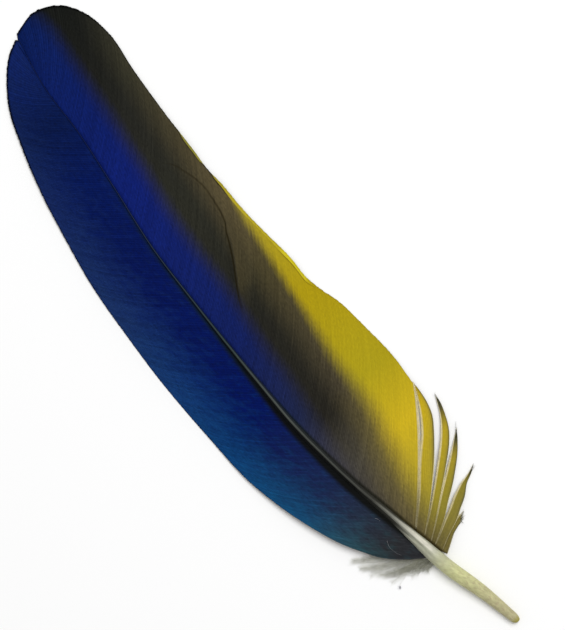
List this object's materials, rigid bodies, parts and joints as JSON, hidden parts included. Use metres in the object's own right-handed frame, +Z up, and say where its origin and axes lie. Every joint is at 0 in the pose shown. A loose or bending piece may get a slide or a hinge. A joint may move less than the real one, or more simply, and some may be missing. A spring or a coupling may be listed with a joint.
{
  "type": "macaw feather",
  "caption": "Flight feather lying on its belly side: bare quill, curved shaft, blue outer vane, black to yellow inner vane with loose locks at its foot.",
  "frame": {"origin": "bottom centre of the feather's box, on the surface that it lies on", "axes": "+Y along the feather from the quill's end to the tip, +X from the blue outer vane to the yellow inner vane, +Z up, out of the feather's upper side"},
  "size_m": [0.0544, 0.2102, 0.0071],
  "materials": {
    "vane": "satin",
    "shaft": "satin"
  },
  "bodies": {
    "root": {"feather": "vane"}
  },
  "joints": []
}
